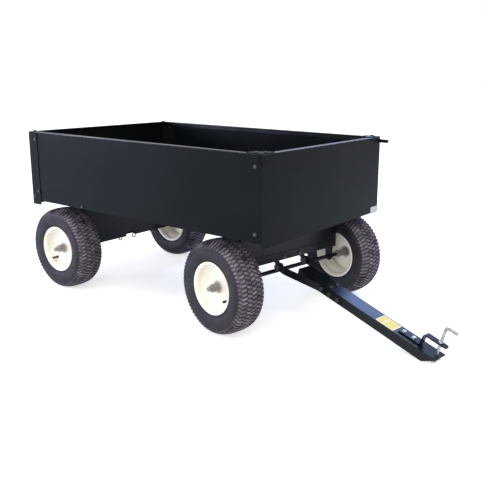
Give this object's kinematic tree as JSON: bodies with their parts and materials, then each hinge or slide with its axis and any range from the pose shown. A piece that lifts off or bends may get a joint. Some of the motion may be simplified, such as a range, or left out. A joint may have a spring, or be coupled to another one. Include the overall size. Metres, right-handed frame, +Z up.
{
  "type": "tow behind cart",
  "caption": "Four-wheel garden cart with an open steel box bed, lift-out tailgate, kingpin-steered front axle and a hinged tongue with a pin hitch.",
  "frame": {"origin": "on the ground under the middle of the overall box", "axes": "+X forward to the hitch, +Y to the cart's left, +Z up"},
  "size_m": [2.1774, 0.9726, 0.7925],
  "materials": {
    "black_steel": "gloss powder coat",
    "black_frame": "satin powder coat",
    "zinc": "zinc plated",
    "axle_steel": "dull bright steel",
    "tyre_rubber": "matte rubber",
    "cream_paint": "gloss enamel",
    "grey_bush": "moulded",
    "black_rubber": "matte"
  },
  "bodies": {
    "bed": {"floor_pan": "black_steel", "side_panel_right": "black_steel", "side_panel_left": "black_steel", "front_panel": "black_steel", "side_rails": "black_steel", "front_rail": "black_steel", "corner_gussets": "black_steel", "tie_down_pegs": "black_steel", "rear_posts": "black_steel", "gate_guides": "black_steel", "panel_bolts": "zinc", "frame_rails": "black_steel", "rear_axle_support": "black_frame", "rear_axle_rod": "axle_steel", "rear_washers": "zinc", "rear_cotter_pins": "zinc", "axle_loops": "black_frame", "turntable_upper": "black_frame", "kingpin": "zinc", "kingpin_nut": "zinc"},
    "tailgate": {"tailgate": "black_steel", "gate_bolts": "zinc"},
    "front_axle": {"turntable_lower": "black_frame", "front_support": "black_frame", "front_beam": "black_frame", "beam_bolts": "zinc", "axle_hangers": "black_frame", "front_axle_rod": "axle_steel", "front_washers": "zinc", "front_cotter_pins": "zinc", "tongue_lugs": "black_frame", "hinge_bolts": "zinc"},
    "tongue": {"yoke_straps": "black_frame", "tongue_channel": "black_frame", "yoke_gusset": "black_frame", "yoke_bolts": "zinc", "hitch_strap": "black_frame", "hitch_bolts": "zinc"},
    "hitch_pin": {"hitch_pin": "zinc"},
    "hairpin_clip": {"hairpin_clip": "zinc"},
    "wheel_front_right": {"tyre_front_right": "tyre_rubber", "rim_front_right": "cream_paint", "hub_bushes_front_right": "grey_bush", "valve_stem_front_right": "black_rubber"},
    "wheel_front_left": {"tyre_front_left": "tyre_rubber", "rim_front_left": "cream_paint", "hub_bushes_front_left": "grey_bush", "valve_stem_front_left": "black_rubber"},
    "wheel_rear_right": {"tyre_rear_right": "tyre_rubber", "rim_rear_right": "cream_paint", "hub_bushes_rear_right": "grey_bush", "valve_stem_rear_right": "black_rubber"},
    "wheel_rear_left": {"tyre_rear_left": "tyre_rubber", "rim_rear_left": "cream_paint", "hub_bushes_rear_left": "grey_bush", "valve_stem_rear_left": "black_rubber"}
  },
  "joints": [
    {"name": "tailgate_slide", "type": "slide", "parent": "bed", "child": "tailgate", "axis": [0, 0, 1], "range_m": [0, 0.37]},
    {"name": "steer", "type": "hinge", "parent": "bed", "child": "front_axle", "pos_m": [0.21225, 0, 0.419], "axis": [0, 0, 1], "range_deg": [-36, 54]},
    {"name": "tongue_lift", "type": "hinge", "parent": "front_axle", "child": "tongue", "pos_m": [0.23991, -0.00438, 0.2303], "axis": [-0.1564, -0.9877, 0], "range_deg": [0, 44]},
    {"name": "hitch_pin_lift", "type": "slide", "parent": "tongue", "child": "hitch_pin", "axis": [0.2723, -0.0431, 0.9613], "range_m": [0, 0.012]},
    {"name": "clip_pull", "type": "slide", "parent": "hitch_pin", "child": "hairpin_clip", "axis": [-0.1564, -0.9877, 0], "range_m": [0, 0.08]},
    {"name": "spin_front_right", "type": "hinge", "parent": "front_axle", "child": "wheel_front_right", "pos_m": [0.15077, -0.38816, 0.203], "axis": [0.1564, 0.9877, 0], "continuous": true},
    {"name": "spin_front_left", "type": "hinge", "parent": "front_axle", "child": "wheel_front_left", "pos_m": [0.27373, 0.38816, 0.203], "axis": [0.1564, 0.9877, 0], "continuous": true},
    {"name": "spin_rear_right", "type": "hinge", "parent": "bed", "child": "wheel_rear_right", "pos_m": [-0.88475, -0.393, 0.203], "axis": [0, 1, 0], "continuous": true},
    {"name": "spin_rear_left", "type": "hinge", "parent": "bed", "child": "wheel_rear_left", "pos_m": [-0.88475, 0.393, 0.203], "axis": [0, 1, 0], "continuous": true}
  ]
}
